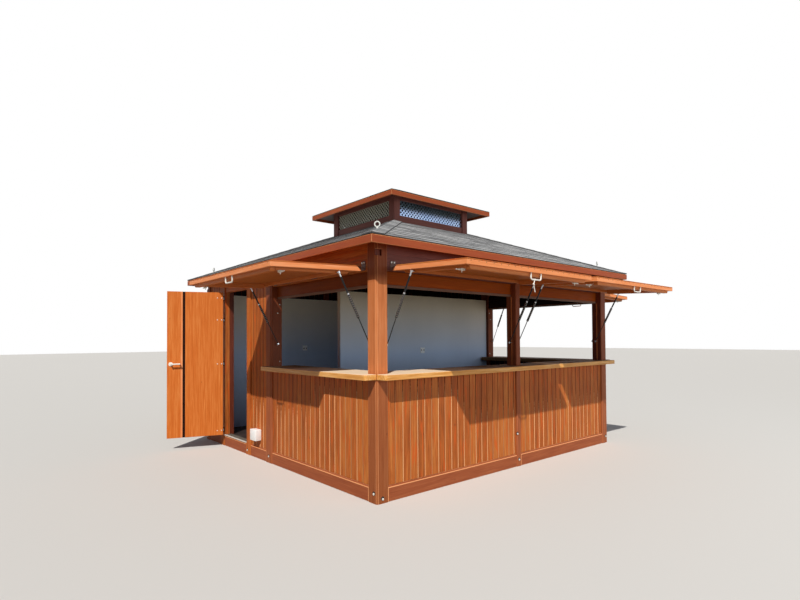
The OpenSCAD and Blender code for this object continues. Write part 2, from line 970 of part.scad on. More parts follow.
// Forged lifting eyes over the four corner posts, each facing along its hip
module lifting_eyes() {
    at = half - 75;
    ring_z = roof_z(at) + 55;
    stem_r = 9;
    stem_h = 24;
    stem_z = roof_z(at - stem_r * cos(45)) + cap_t + 2 * cap_lift;
    land = 3;
    color("#D8DAD6") {
        for (side = sides) {
            on_side(side) translate([-at, -at, 0]) rotate([0, 0, -45]) {
                translate([0, 0, ring_z]) rotate([90, 0, 0]) rotate_extrude($fn = 64)
                    translate([eye_ring_r, 0]) {
                        translate([eye_bar_r, 0]) circle(eye_bar_r, $fn = 24);
                        translate([0, -land]) square([eye_bar_r, 2 * land]);
                    }
                translate([0, 0, stem_z]) cylinder(h = stem_h, r = stem_r, $fn = 32);
            }
        }
    }
}

sills();
corner_posts();
middle_posts();
door_jambs();
floor_joists();
floor_deck();
front_wall();
left_wall();
right_wall();
back_wall();
headers();
counter_front();
counter_left();
counter_right();
flap_front_left();
flap_front_right();
flap_left();
flap_right();
strut_cylinders();
strut_rods();
flap_hinges();
flap_handles();
flap_latches();
door_leaf();
door_straps();
door_lever();
door_hinge_pins();
threshold();
partition();
back_lining();
socket_boxes();
roof_front();
roof_left();
roof_right();
roof_back();
hip_caps();
fascia();
lantern_frame();
lattice_front();
lattice_left();
lattice_right();
lattice_back();
lantern_roof();
lantern_fascia();
lifting_eyes();
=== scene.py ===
"""Looks of the wooden market hut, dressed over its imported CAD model.

Metres, +Z up, origin at the middle of the footprint on the ground.
The front wall faces -Y and the wall with the door faces -X.
"""

import math
import random

import bmesh
import bpy
from mathutils import Matrix, Vector


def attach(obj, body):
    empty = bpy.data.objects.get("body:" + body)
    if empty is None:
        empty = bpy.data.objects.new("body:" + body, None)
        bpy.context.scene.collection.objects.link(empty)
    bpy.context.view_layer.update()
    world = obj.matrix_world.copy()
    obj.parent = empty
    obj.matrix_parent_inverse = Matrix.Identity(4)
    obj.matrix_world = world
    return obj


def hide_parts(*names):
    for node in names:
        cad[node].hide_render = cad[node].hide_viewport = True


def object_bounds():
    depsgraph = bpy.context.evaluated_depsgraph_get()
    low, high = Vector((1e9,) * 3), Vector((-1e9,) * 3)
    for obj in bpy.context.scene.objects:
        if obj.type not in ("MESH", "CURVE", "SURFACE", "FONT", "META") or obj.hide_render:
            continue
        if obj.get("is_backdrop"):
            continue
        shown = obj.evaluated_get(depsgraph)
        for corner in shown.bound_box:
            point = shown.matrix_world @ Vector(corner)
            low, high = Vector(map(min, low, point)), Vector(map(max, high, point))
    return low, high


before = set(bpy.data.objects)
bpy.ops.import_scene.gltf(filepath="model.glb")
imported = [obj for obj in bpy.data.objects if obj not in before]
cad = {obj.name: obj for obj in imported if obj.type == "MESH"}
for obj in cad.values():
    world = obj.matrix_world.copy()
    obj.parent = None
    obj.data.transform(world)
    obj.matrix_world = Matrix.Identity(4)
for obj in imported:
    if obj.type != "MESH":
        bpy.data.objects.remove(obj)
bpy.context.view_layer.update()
scene = bpy.context.scene
dice = random.Random(11)

X = Vector((1, 0, 0))
Y = Vector((0, 1, 0))
Z = Vector((0, 0, 1))

# Sizes shared with the CAD source
HALF = 2.0
SIDE_JOIN = -0.015
COUNTER_TOP = 1.122
HEAD_Z = 1.92
FRIEZE_Z = 2.04
SLOPE = math.tan(math.radians(21.2))
EAVE_HALF = 2.206
EAVE_Z = 2.287
LANTERN_HALF = 0.672
LANTERN_EAVE_HALF = 0.894
LANTERN_EAVE_Z = 3.188
FLAP_W = 1.812
FLAP_D = 0.885
FLAP_MID = 0.959
FLAP_TOP = 0.01
FLAP_RIM_Z = -0.038
FLAP_RIM_W = 0.03
FLAP_INNER = -0.015
FLAP_BEVEL = 0.045
FLAP_FALL = math.radians(2.5)
SIDE_FLAP_FALL = math.radians(2.0)
BATTEN_W = 0.045
BATTEN_IN = 0.065
HINGE_OUT = 2.045
HINGE_Z = 2.066
DOOR_OPEN = math.radians(109)
DOOR_HINGE = Vector((-2.01, 1.34, 0))
LEAF_T = 0.045
SLOT_AT = 0.829
SLOT_W = 0.03
JAMB_SPLIT = -1.925

# Each flap's CAD node, the side it is on, its middle along that side and how far it tips
FLAPS = (("flap_front_left", 0, -FLAP_MID, FLAP_FALL), ("flap_front_right", 0, FLAP_MID, FLAP_FALL),
         ("flap_right", 1, -FLAP_MID, SIDE_FLAP_FALL), ("flap_left", 3, FLAP_MID, SIDE_FLAP_FALL))

# Boards on walls and flaps: cover width between two V joints, open joint, and depth of the tongues' face
BOARD_PITCH = 0.0905
BOARD_GAP = 0.003
BOARD_T = 0.011
# Hairline between two pieces cut from one solid
SEAM = 0.0005
# Farther out than anything here
FAR = 9.0


# Materials

def linear(code):
    """An sRGB hex colour as linear red, green, blue and alpha."""
    values = [int(code[i:i + 2], 16) / 255 for i in (1, 3, 5)]
    return [v / 12.92 if v <= 0.04045 else ((v + 0.055) / 1.055) ** 2.4 for v in values] + [1.0]


def feed(tree, node, inputs):
    """Links or sets a node's inputs, given by name or number."""
    for name, value in inputs.items():
        socket = node.inputs[name]
        if isinstance(value, bpy.types.NodeSocket):
            tree.links.new(value, socket)
        else:
            socket.default_value = value


def add(tree, kind, inputs=None, **settings):
    """Adds a node, makes its settings and feeds its inputs."""
    node = tree.nodes.new("ShaderNode" + kind)
    for name, value in settings.items():
        setattr(node, name, value)
    feed(tree, node, inputs or {})
    return node


def new_material(name):
    """A material with its node tree and its shader."""
    material = bpy.data.materials.new(name)
    material.use_nodes = True
    tree = material.node_tree
    return material, tree, tree.nodes["Principled BSDF"]


def maths(tree, operation, first, second):
    """One calculation with two values."""
    return add(tree, "Math", {0: first, 1: second}, operation=operation).outputs[0]


def ranged(tree, value, low=0.0, high=1.0, start=0.0, end=1.0):
    """A value held between low and high and stretched, so that low becomes start and high becomes end."""
    return add(tree, "MapRange", {"Value": value, "From Min": low, "From Max": high, "To Min": start,
                                  "To Max": end}).outputs[0]


def noise(tree, place, scale, detail, roughness=0.5, distortion=0.0):
    """Cloudy noise, scale clouds to a unit of the space."""
    return add(tree, "TexNoise", {"Vector": place, "Scale": scale, "Detail": detail, "Roughness": roughness,
                                  "Distortion": distortion}).outputs["Fac"]


def mixed(tree, factor, first, second, blend="MIX"):
    """Two colours blended, the second one by factor."""
    return add(tree, "Mix", {"Factor": factor, 6: first, 7: second}, data_type="RGBA",
               blend_type=blend).outputs[2]


def relief(tree, height, strength, depth_mm):
    """A bumpy normal from a height."""
    return add(tree, "Bump", {"Height": height, "Strength": strength, "Distance": depth_mm / 1000}).outputs[0]


def shades(tree, value, *stops):
    """A colour ramp over a value, from (place, hex) stops."""
    ramp = add(tree, "ValToRGB", {"Fac": value})
    elements = ramp.color_ramp.elements
    while len(elements) < len(stops):
        elements.new(0.5)
    for element, (place, code) in zip(elements, stops):
        element.position = place
        element.color = linear(code)
    return ramp.outputs["Color"]


def object_place(tree):
    """Where a point lies in the object's own space."""
    return add(tree, "TexCoord").outputs["Object"]


def height_of(tree, place):
    """The height of a place."""
    return add(tree, "SeparateXYZ", {0: place}).outputs["Z"]


def board_tint(tree):
    """The shade that each board has been given, from 0 to 1."""
    return add(tree, "Attribute", attribute_name="tint").outputs["Fac"]


def board_grain(tree):
    """Where a point lies across and along the grain of its own board."""
    return add(tree, "Attribute", attribute_name="grain").outputs["Vector"]


def by_height(tree, colour, bands):
    """Multiplies a colour by a tone that changes with height, from (metres, hex) stops."""
    low, high = bands[0][0], bands[-1][0]
    share = ranged(tree, height_of(tree, object_place(tree)), low, high)
    tone = shades(tree, share, *[((z - low) / (high - low), code) for z, code in bands])
    return mixed(tree, 1.0, colour, tone, "MULTIPLY")


def sunlit_corner(tree, place, near, far):
    """1 round the near corner post, where the painted light is strongest, falling to 0 between two distances
    from it.
    """
    flat = add(tree, "VectorMath", {0: place, 1: (1, 1, 0)}, operation="MULTIPLY").outputs[0]
    corner = (-HALF, -HALF, 0)
    away = add(tree, "VectorMath", {0: flat, 1: corner}, operation="DISTANCE").outputs["Value"]
    return ranged(tree, away, near, far, 1.0, 0.0)


def wood(name, dark, middle, light, knot, roughness, spread=0.3, coat=0.0, streak=0.5, sheen=0.2, resin=None,
         bands=None, shade_tone_away=None):
    """Softwood with growth rings along each board's own grain, knots and uneven stain.

    spread is how far boards differ from each other, streak how strongly the rings show, resin the colour of
    the streaks that took the stain more strongly, bands how the tone changes with height, and shade_tone_away
    the painted shade away from the sunlit corner.
    """
    material, tree, shader = new_material(name)
    grain = board_grain(tree)

    def stretched(across_mm, along_mm):
        scale = (1000 / across_mm, 1000 / across_mm, 1000 / along_mm)
        return add(tree, "VectorMath", {0: grain, 1: scale}, operation="MULTIPLY").outputs[0]

    def weighed(value, weight):
        return maths(tree, "MULTIPLY", maths(tree, "SUBTRACT", value, 0.5), weight)

    # Growth rings 15 mm apart, drawn wider than the real 3 mm so that they show at this distance
    rings = noise(tree, stretched(15, 480), 1.0, 3.0, roughness=0.7, distortion=0.5)
    # Pores and planing marks 3 mm wide
    pores = noise(tree, stretched(3, 90), 1.0, 2.0)
    # Stain that soaked in unevenly over hand-sized patches
    patches = noise(tree, stretched(70, 300), 1.0, 2.0)
    # Knots about 18 mm wide, in one of seven cells the size of a hand
    cells = add(tree, "TexVoronoi", {"Vector": stretched(95, 170), "Scale": 1.0})
    knots = ranged(tree, cells.outputs["Distance"], 0.03, 0.10, 0.8, 0.0)
    sparse = add(tree, "SeparateColor", {0: cells.outputs["Color"]}).outputs[0]
    knots = maths(tree, "MULTIPLY", knots, maths(tree, "GREATER_THAN", sparse, 0.86))

    total = maths(tree, "ADD", weighed(rings, 2.2 * streak), 0.5)
    for value, weight in ((pores, 0.8 * streak), (patches, 0.3), (board_tint(tree), spread)):
        total = maths(tree, "ADD", total, weighed(value, weight))
    colour = shades(tree, total, (0.08, dark), (0.5, middle), (0.92, light))
    if resin:
        # Resin streaks 20 mm wide and a hand long
        veins = ranged(tree, noise(tree, stretched(20, 230), 1.0, 1.0), 0.57, 0.7, 0.0, 0.75)
        colour = mixed(tree, veins, colour, linear(resin))
    colour = mixed(tree, knots, colour, linear(knot))
    if bands:
        colour = by_height(tree, colour, bands)
    # Painted shade away from the sunlit corner
    if shade_tone_away:
        corner = sunlit_corner(tree, object_place(tree), 1.15, 1.5)
        tone = shades(tree, corner, (0.0, shade_tone_away), (1.0, "#FFFFFF"))
        colour = mixed(tree, 1.0, colour, tone, "MULTIPLY")
    feed(tree, shader, {
        "Base Color": colour,
        "Roughness": ranged(tree, rings, start=roughness - 0.08, end=roughness + 0.1),
        "Normal": relief(tree, maths(tree, "ADD", rings, pores), 0.5, 0.6),
        "IOR": 1.5,
        "Specular IOR Level": sheen,
        "Coat Weight": coat,
    })
    return material


def arris_painted_light(name, upper_tone, pale, low, high):
    """The arris of a stained board with painted light: the pale tone below a height and upper_tone above one.
    """
    material, tree, shader = new_material(name)
    place = object_place(tree)
    # Spots a thumb wide, which shift the height of the painted light by up to this
    wander = 0.25
    spots = noise(tree, place, 45.0, 2.0)
    level = maths(tree, "ADD", height_of(tree, place), maths(tree, "MULTIPLY", spots, wander))
    # The painted light reaches this much higher near the sunlit corner
    rise = 0.3
    corner = sunlit_corner(tree, place, 1.0, 1.2)
    level = maths(tree, "SUBTRACT", level, maths(tree, "MULTIPLY", corner, rise))
    shade_share = ranged(tree, level, low + wander / 2, high + wander / 2)
    # The arrises of some boards lean to the upper tone, at random
    board_dim = ranged(tree, board_tint(tree), 0.3, 1.0, 0.0, 0.75)
    shade_share = maths(tree, "MAXIMUM", shade_share, board_dim)
    feed(tree, shader, {
        "Base Color": shades(tree, shade_share, (0.0, pale), (1.0, upper_tone)),
        "Roughness": ranged(tree, spots, start=0.5, end=0.65),
        "Specular IOR Level": 0.2,
    })
    return material


def speckled(name, base, other, size_mm, roughness, metallic=0.0, bump_mm=0.1, bands=None, sheen=0.5):
    """A plain finish with fine mottling of the given size, in object space."""
    material, tree, shader = new_material(name)
    place = object_place(tree)
    fine = noise(tree, place, 1000 / size_mm, 3.0)
    broad = noise(tree, place, 1000 / (size_mm * 40), 2.0)
    share = ranged(tree, maths(tree, "ADD", fine, broad), 0.55, 1.45)
    colour = shades(tree, share, (0.0, base), (1.0, other))
    if bands:
        colour = by_height(tree, colour, bands)
    feed(tree, shader, {
        "Base Color": colour,
        "Roughness": ranged(tree, fine, start=roughness - 0.06, end=roughness + 0.08),
        "Normal": relief(tree, fine, 0.4, bump_mm),
        "Metallic": metallic,
        "Specular IOR Level": sheen,
    })
    return material


def shingle_material():
    """Asphalt shingle with mineral granules: matt, speckled grey, each tab a little different."""
    material, tree, shader = new_material("mineral_shingle")
    grain = board_grain(tree)
    # Granules drawn 8 mm wide instead of 1.5 mm, so that the speckle shows at this distance
    granules = noise(tree, grain, 125.0, 3.0, roughness=0.7)
    drift = noise(tree, grain, 4.0, 1.0)
    own = maths(tree, "MULTIPLY", board_tint(tree), 0.35)
    total = maths(tree, "ADD", maths(tree, "ADD", granules, drift), own)
    tone = ranged(tree, total, 0.75, 1.6)
    feed(tree, shader, {
        "Base Color": shades(tree, tone, (0.0, "#545558"), (0.5, "#8C8D8E"), (1.0, "#BCBCBC")),
        "Roughness": 0.92,
        "Normal": relief(tree, granules, 0.6, 1.2),
    })
    return material


# Red-brown stained pine, satin: wall boards, friezes, door jambs, and the outer boards of flaps and door
stained = wood("stained_pine", "#7C3F16", "#B25E27", "#D28642", "#6A3216", 0.55, spread=0.28, streak=0.6,
               resin="#D05A1C")
# The near corner post, pinker and calmer: darker below the counters, and painted shade under the roof
post_tone_and_roof_shade = wood("pine_posts_roof_shade", "#A05A2E", "#C67442", "#DE9664", "#7A3C20", 0.55, spread=0.1,
                  streak=0.45, bands=((0.0, "#C0B4AC"), (1.08, "#D2C8C0"), (1.16, "#FFFFFF"),
                                      (1.92, "#FFFFFF"), (2.0, "#AE9A92")))
# Posts that stand in the shade of the flaps: painted shade, a darker coat that darkens further above 1 m
shaded_post = wood("stained_pine_shaded", "#7E4020", "#9E5632", "#B87048", "#5E2C16", 0.55, spread=0.1,
                   streak=0.45, bands=((0.0, "#FFFFFF"), (1.0, "#FFFFFF"), (1.2, "#D8CCC8"),
                                       (2.2, "#C8BAB6")))
# Reddish coat on the bottom beams
sill_stain = wood("sill_pine", "#7C3C20", "#9C5230", "#B46C44", "#5E2C16", 0.55, spread=0.15, streak=0.45)
# Arrises of the wall boards: cream as painted sunlight low down, dark as painted shade under the counters and
# flaps
board_arris_light_and_shade = arris_painted_light("arris_painted_sun_and_shade", "#5A2C14", "#F2BC8A", 0.56, 0.72)
# Arrises of the corner post, sills, fascias and flap rims, lighter as a painted highlight
arris_highlight = arris_painted_light("arris_painted_highlight", "#D08A58", "#E6A270", 2.0, 2.2)
# A redder coat on the fascias and on the roof boards at the eaves
red_stain = wood("red_stained_pine", "#7E381C", "#9A4824", "#AE5C32", "#642A14", 0.5, spread=0.12,
                 streak=0.45)
# A lighter, more orange coat on the planed flap frames
bright = wood("bright_stained_pine", "#D67E42", "#F0945A", "#FAB486", "#B06438", 0.5, spread=0.12, streak=0.5)
# Reddish coat on the battens under the flaps
batten_stain = wood("batten_pine", "#B4622E", "#CE7A40", "#DE9458", "#84421E", 0.5, spread=0.15, streak=0.35)
# The headers, which the flaps keep from the light: painted shade in a dark coat
painted_shade_header = wood("pine_header_painted_shade", "#7A3408", "#A0480C", "#BA621C", "#4A200A", 0.5, spread=0.2, streak=0.4,
                    sheen=0.1)
# Deeper painted shade on the left header
deeper_shade_left_header = wood("pine_left_header_deeper_shade", "#5C2606", "#7A3609", "#924C18", "#381806", 0.5, spread=0.2,
                         streak=0.4, sheen=0.1)
# Dark stain of the walls' tongues; painted shade on faces that look into the hut, in a post's pocket and on
# the hinge jamb's inner part
dark_coat_and_shade = wood("pine_dark_coat_and_shade", "#4A2014", "#6B301E", "#86442C", "#2E120A", 0.5, spread=0.2)
# Dark stain turned greyish purple: painted sky light on the lantern's frame, painted shade on the frieze over
# the front
lantern_coat_and_shade = wood("pine_lantern_sky_light_and_shade", "#5C3430", "#7C4A42", "#946258", "#3C1E1A", 0.55, spread=0.2, streak=0.4)
# Nearly black stain in the door's board joints; painted shade on its core in the slot and on faces that look
# into the hut
joint_coat_and_shade = wood("pine_joints_and_shade", "#160907", "#200E0A", "#2C1610", "#100604", 0.6, spread=0.1, sheen=0.1)
# Stained plywood sheets inside the door: calm, wide figure
ply = wood("stained_plywood", "#BC5A1C", "#D4702A", "#E68E48", "#A85420", 0.5, spread=0.15, streak=0.55)
# The same plywood under the flaps, darker as painted shade
flap_ply = wood("flap_plywood", "#96501E", "#B46428", "#C87C3C", "#7A3E18", 0.5, spread=0.15, streak=0.3)
# Golden varnished boards: glossy enough to catch the sky
golden = wood("varnished_pine", "#C27A28", "#E2A050", "#F6C684", "#A05E24", 0.4, spread=0.12, coat=0.15,
              streak=0.8)
# The same varnish, darkened as painted shade on the sides that look into the hut
counter_inside_shade = wood("varnished_pine_inside_shade", "#5E4224", "#785630", "#8C6A40", "#46301A", 0.5, spread=0.12,
                  streak=0.4)
# The counters' top faces: paler as painted sunlight, darker away from the near corner as painted shade
counter_top_light_and_shade = wood("varnished_pine_top_light_and_shade", "#EAC8A2", "#F2D8B8", "#FAE6CE", "#CCA078", 0.65, spread=0.1,
                   streak=0.25, sheen=0.05, shade_tone_away="#9A8678")
# Half-bare planed pine of the strips under the headers, darkened to a purplish brown as painted shade
bare = wood("bare_pine", "#664638", "#785848", "#8C6C5A", "#50362A", 0.6, spread=0.15, streak=0.3)
# Brown stained floor and joists, made darker still as painted shade
floor_wood = wood("floor_pine", "#241D1A", "#322926", "#443834", "#181210", 0.55, spread=0.4)
# Ceiling boards, nearly black as painted shade
ceiling_shade_wood = wood("pine_ceiling_painted_shade", "#120B07", "#1C110B", "#281A11", "#0C0705", 0.6, spread=0.3, sheen=0.1)
# Greyed boards under the lantern's eaves
soffit_wood = wood("soffit_pine", "#7C706C", "#948884", "#AAA09C", "#5C504C", 0.6, spread=0.2, streak=0.3)
# White painted board: brushed paint, faint mottling, and painted light: bluish low down, warmer near the roof
painted = speckled("white_painted_board", "#E6E8EA", "#F4F5F5", 9, 0.5, bump_mm=0.15,
                   bands=((0.0, "#C4DAFF"), (1.2, "#C8DCFA"), (1.9, "#FFF0D8"), (2.3, "#FFEBCC")))
# White moulded ABS of the electric boxes
plastic = speckled("white_abs", "#F8FCFF", "#FEFFFF", 3, 0.4, bump_mm=0.05)
# Black powder-coated steel
black_steel = speckled("black_coated_steel", "#0E0E10", "#1C1C1E", 2, 0.5, bump_mm=0.06, sheen=0.25)
# Lighter grey on the struts' ribs, as painted highlights
rib_highlight_grey = speckled("black_steel_rib_highlights", "#6A625E", "#8C847E", 2, 0.5, bump_mm=0.06)
# Brown painted steel of the flap hinges and of the plates on the door's jamb
brown_steel = speckled("brown_painted_steel", "#4A2818", "#623620", 3, 0.5, bump_mm=0.08)
# Brushed stainless steel
stainless = speckled("stainless_steel", "#B4B8BC", "#D2D5D8", 4, 0.28, metallic=1.0, bump_mm=0.04)
# Zinc-plated steel: grey with a spangled bloom
zinc = speckled("zinc_plated_steel", "#8C9094", "#B8BBBD", 6, 0.42, metallic=1.0, bump_mm=0.06)
# Bright new zinc on bolts, handles and latches, dulled to a cream white
bright_zinc = speckled("new_zinc", "#DCDAD2", "#F4F2EA", 4, 0.55, metallic=0.3, bump_mm=0.05)
# Mill-finish aluminium with a chalky bloom
alloy = speckled("mill_aluminium", "#D8D2C8", "#EEEAE2", 5, 0.6, metallic=0.4, bump_mm=0.05)
# The same darkened as painted shade inside the doorway
alloy_painted_shade = speckled("aluminium_painted_shade", "#5E5850", "#7A746A", 5, 0.7, metallic=0.4, bump_mm=0.05)
# Pale painted cast steel of the lifting eyes
pale_steel = speckled("pale_painted_steel", "#D4D6D0", "#ECEDE8", 6, 0.5, bump_mm=0.12)
# Enamelled lattice bars of the front and back: bluish white as a painted sky reflection, darker above 3.05 m
# as painted shade under the eave
lattice_sky_and_shade = speckled("lattice_enamel_painted_sky_and_shade", "#A4C8FF", "#CCE0FF", 7, 0.25, metallic=0.85, bump_mm=0.04,
                        bands=((2.9, "#FFFFFF"), (3.05, "#FFFFFF"), (3.1, "#A8AC9C"), (3.2, "#A0A498")))
# The side ones are a matt grey-green, darker than the front as painted shade
side_lattice_shade = speckled("lattice_grey_green_painted_shade", "#AEB0A0", "#C6C8B8", 7, 0.5, bump_mm=0.08)
# Painted shade on the sides of the bars, which makes the holes read dark
lattice_sides_shade = speckled("lattice_sides_painted_shade", "#1E201C", "#2C2E28", 7, 0.7, bump_mm=0.08)
shingle = shingle_material()
# Cut edge of a shingle: dark bitumen with a few granules
bitumen = speckled("bitumen_edge", "#262628", "#48484A", 4, 0.8, bump_mm=0.2)


# Mesh helpers

# Edges sharper than this are eased, and smooth pieces keep a crease at this
EASED_ANGLE = math.radians(25)
CREASE_ANGLE = math.radians(32)


def solids_of(node):
    """The closed solids of a CAD node, each merged and cleaned, as separate bmeshes."""
    whole = bmesh.new()
    whole.from_mesh(cad[node].data)
    bmesh.ops.remove_doubles(whole, verts=whole.verts, dist=2e-5)
    whole.verts.ensure_lookup_table()
    whole.verts.index_update()
    seen = set()
    found = []
    for seed in whole.verts:
        if seed.index in seen:
            continue
        group, queue = {seed.index}, [seed]
        while queue:
            for edge in queue.pop().link_edges:
                for vert in edge.verts:
                    if vert.index not in group:
                        group.add(vert.index)
                        queue.append(vert)
        seen |= group
        part = whole.copy()
        part.verts.index_update()
        bmesh.ops.delete(part, geom=[v for v in part.verts if v.index not in group], context="VERTS")
        bmesh.ops.dissolve_limit(part, angle_limit=math.radians(0.4), verts=part.verts, edges=part.edges,
                                 delimit=set())
        found.append(part)
    whole.free()
    return found


def reach(part, direction):
    """Lowest and highest place of a mesh along a direction."""
    values = [v.co.dot(direction) for v in part.verts]
    return min(values), max(values)


def cut(part, normal, low, high):
    """The part of a solid between two planes across normal, closed again."""
    board = part.copy()
    for at, turn in ((low, -1), (high, 1)):
        bmesh.ops.bisect_plane(board, geom=board.verts[:] + board.edges[:] + board.faces[:], dist=1e-7,
                               plane_co=normal * at, plane_no=normal * turn, clear_outer=True)
        rim = [e for e in board.edges if e.is_boundary]
        if rim:
            bmesh.ops.holes_fill(board, edges=rim, sides=0)
    bmesh.ops.recalc_face_normals(board, faces=board.faces)
    return board


def planks(part, across, pitch, gap=0.0):
    """Cuts a solid into boards of the given cover width, with open joints and no narrow last board."""
    low, high = reach(part, across)
    cuts = [low]
    at = low + pitch
    while at < high - 0.2 * pitch:
        cuts.append(at)
        at += pitch
    cuts.append(high)
    return [cut(part, across, a + gap / 2, b - gap / 2) for a, b in zip(cuts, cuts[1:])]


def block(a, b):
    """A box from one corner to the other."""
    part = bmesh.new()
    a, b = Vector(a), Vector(b)
    size = Matrix.Diagonal((b - a).to_4d())
    bmesh.ops.create_cube(part, size=1.0, matrix=Matrix.Translation((a + b) / 2) @ size)
    return part


def rod(start, end, radius, sides=16):
    """A round bar between two points."""
    part = bmesh.new()
    start, end = Vector(start), Vector(end)
    line = end - start
    turn = line.to_track_quat("Z", "Y").to_matrix().to_4x4()
    bmesh.ops.create_cone(part, cap_ends=True, segments=sides, radius1=radius, radius2=radius,
                          depth=line.length, matrix=Matrix.Translation((start + end) / 2) @ turn)
    return part


def ease(part, width, segments, rim):
    """Takes off a solid's convex edges. rim numbers the new faces' material, -1 for their neighbours' one."""
    edges = [e for e in part.edges if e.is_manifold and e.is_convex and e.calc_face_angle(0) > EASED_ANGLE]
    if edges and width:
        bmesh.ops.bevel(part, geom=edges, offset=width, offset_type="OFFSET", segments=segments, profile=0.5,
                        affect="EDGES", clamp_overlap=True, material=rim)


class Piece:
    """One object made of many solids, each with its own grain direction and shade."""

    def __init__(self, name, *materials):
        self.name = name
        self.materials = materials
        self.mesh = bmesh.new()
        self.mesh.verts.layers.float_vector.new("grain")
        self.mesh.verts.layers.float.new("tint")

    def add(self, part, along, edge, coat=None, rim=None, paint=None, segments=1, smooth=False, place=None,
            tint=None):
        """Adds a solid with its grain along a direction. place moves it after its grain is set.

        coat is its material, else the piece's first one, rim that of its eased edges, and paint may give
        another one for a face.
        """
        number = self.materials.index
        for face in part.faces:
            face.material_index = number(coat) if coat else 0
        ease(part, edge, segments, number(rim) if rim else -1)
        along = Vector(along).normalized()
        across = along.orthogonal().normalized()
        if abs(along.z) < 0.5:
            across = along.cross(Z).normalized()
        depth = along.cross(across)
        grain = part.verts.layers.float_vector.new("grain")
        shade = part.verts.layers.float.new("tint")
        shift = Vector([dice.uniform(0, 9) for _ in range(3)])
        own = dice.random() if tint is None else tint
        for vert in part.verts:
            vert[grain] = Vector((vert.co.dot(across), vert.co.dot(depth), vert.co.dot(along))) + shift
            vert[shade] = own
        part.normal_update()
        for face in part.faces:
            chosen = paint(face) if paint else None
            if chosen:
                face.material_index = number(chosen)
            face.smooth = smooth
        if smooth:
            for line in part.edges:
                line.smooth = line.calc_face_angle(0) < CREASE_ANGLE
        if place is not None:
            part.transform(place)
        scratch = bpy.data.meshes.new("scratch")
        part.to_mesh(scratch)
        self.mesh.from_mesh(scratch)
        bpy.data.meshes.remove(scratch)
        part.free()

    def done(self, *nodes, body="hut", finish=None):
        """Makes the object, which rides on its body and stands for the CAD nodes named.

        finish is not used.
        """
        data = bpy.data.meshes.new(self.name)
        self.mesh.to_mesh(data)
        self.mesh.free()
        for material in self.materials:
            data.materials.append(material)
        made = bpy.data.objects.new(self.name, data)
        scene.collection.objects.link(made)
        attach(made, body)
        if nodes:
            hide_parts(*nodes)


def on_side(turns):
    """Turns what is made for the front round to another side: 0 front, 1 right, 2 back, 3 left."""
    return Matrix.Rotation(math.radians(90) * turns, 4, "Z")


def grain_axis(part):
    """The longest of the three axes of a solid."""
    return max((X, Y, Z), key=lambda axis: reach(part, axis)[1] - reach(part, axis)[0])


def timbers(name, material, node, edge=0.003, edge_tone=None):
    """Stands for a CAD node with the same solids, their edges eased and their grain lengthwise."""
    piece = Piece(name, *([material, edge_tone] if edge_tone else [material]))
    for part in solids_of(node):
        piece.add(part, grain_axis(part), edge, rim=edge_tone)
    piece.done(node)


def metal(name, material, node, edge=0.0008, segments=1, body="hut"):
    """Stands for a CAD node of metal or plastic with smooth rounds and slightly eased edges."""
    piece = Piece(name, material)
    for part in solids_of(node):
        piece.add(part, Z, edge, segments=segments, smooth=True)
    piece.done(node, body=body)


# Frame timbers

# A face looks into the hut where its normal times its place, both level, falls below this
INTO_HUT = -1.2
# A solid that lies wholly beyond this belongs to the front or the left wall
WALL_ZONE = -1.5
# The square pocket in a post: heights round it, and more than the area of its floor
POCKET_LOW = 2.12
POCKET_HIGH = 2.2
POCKET_AREA = 0.006
# A middle post deeper than this is made of two members
ONE_MEMBER_D = 0.135
# The jamb that starts beyond this carries the hinges
HINGE_JAMB_Y = 1.3
DECK_BOARD_W = 0.142
FRIEZE_BOARD_W = 0.145


def looks_in(face):
    """Whether a face looks into the hut."""
    middle = face.calc_center_median()
    return face.normal.x * middle.x + face.normal.y * middle.y < INTO_HUT


def post_shade_paint(face):
    """Painted shade for a face that looks into the hut, and for the floor of a post's square pocket."""
    pocket = POCKET_LOW < face.calc_center_median().z < POCKET_HIGH and face.calc_area() < POCKET_AREA
    return dark_coat_and_shade if looks_in(face) or pocket else None


def wall_shade_paint(face):
    """Nearly black painted shade for a face that looks into the hut."""
    return joint_coat_and_shade if looks_in(face) else None


def counter_light_and_shade_paint(face):
    """Painted shade for a face that looks into the hut, the paler painted light for a face that looks up."""
    if looks_in(face):
        return counter_inside_shade
    return counter_top_light_and_shade if face.normal.z > 0.9 else None


timbers("sill_beams", sill_stain, "sills", edge=0.004, edge_tone=arris_highlight)
corners = Piece("post_corners", post_tone_and_roof_shade, arris_highlight, dark_coat_and_shade, shaded_post)
# The near post takes the coat with painted shade under the roof, the others the coat painted with the flaps'
# shade
for part in solids_of("corner_posts"):
    near = reach(part, X)[0] < 0 and reach(part, Y)[0] < 0
    corners.add(part, Z, edge=0.0015, coat=post_tone_and_roof_shade if near else shaded_post,
                rim=arris_highlight if near else shaded_post, paint=post_shade_paint, tint=0.6)
corners.done("corner_posts")
